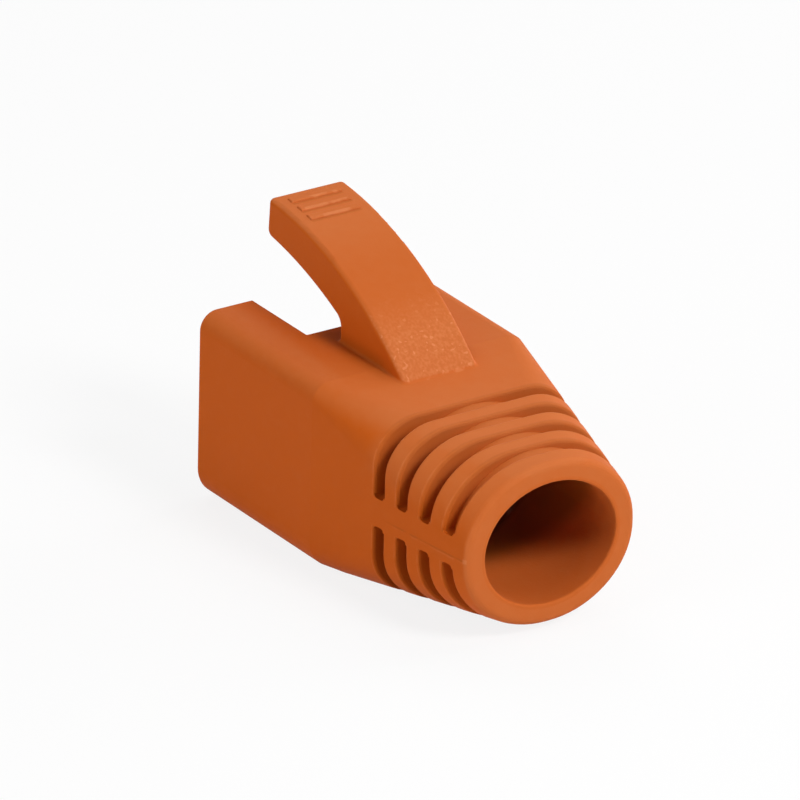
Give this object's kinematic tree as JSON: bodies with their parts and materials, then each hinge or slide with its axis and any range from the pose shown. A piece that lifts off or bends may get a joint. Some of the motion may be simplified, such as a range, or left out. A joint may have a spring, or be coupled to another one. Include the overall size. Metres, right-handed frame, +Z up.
{
  "type": "modular plug strain relief boot",
  "caption": "One-piece moulded strain relief boot for an eight-way modular plug, with an arched latch lever and a ribbed oval tail.",
  "frame": {"origin": "centreline of the flat base, where it meets the plane of the plug end", "axes": "+X from the plug end along the boot towards the cable end, +Y across it, +Z up from the base through the lever"},
  "size_m": [0.0248, 0.014, 0.0172],
  "materials": {
    "moulding": "satin"
  },
  "bodies": {
    "root": {"boot": "moulding"}
  },
  "joints": []
}
